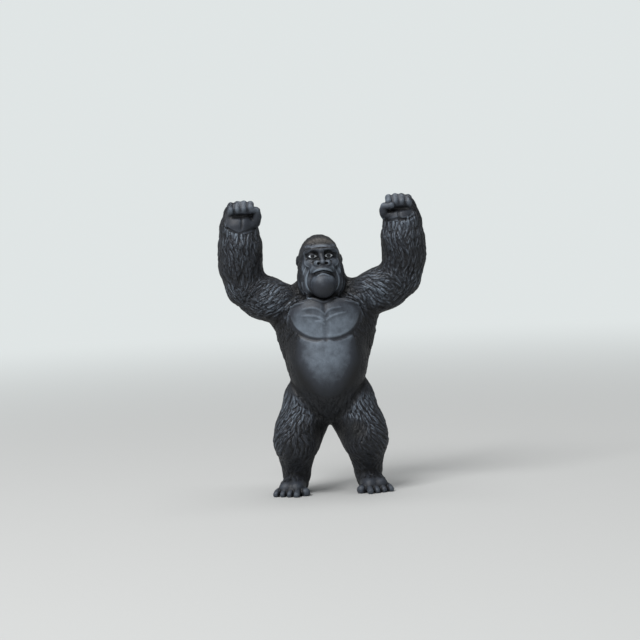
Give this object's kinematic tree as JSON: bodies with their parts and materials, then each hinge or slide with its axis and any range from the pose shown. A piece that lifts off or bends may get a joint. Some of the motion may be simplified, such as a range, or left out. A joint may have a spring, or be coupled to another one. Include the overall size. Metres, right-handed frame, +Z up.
{
  "type": "gorilla figurine",
  "caption": "Small solid-cast gorilla figurine standing upright, with both forearms raised, closed fists, a carved coat and flat soles to stand on.",
  "frame": {"origin": "on the floor, under the middle of the bounding box", "axes": "+Z up along the height, the gorilla faces -Y, +X is its left side"},
  "size_m": [0.0472, 0.0186, 0.0667],
  "materials": {
    "black_plastic": "matt black with a blue-grey cast"
  },
  "bodies": {
    "root": {"gorilla_figurine": "black_plastic"}
  },
  "joints": []
}
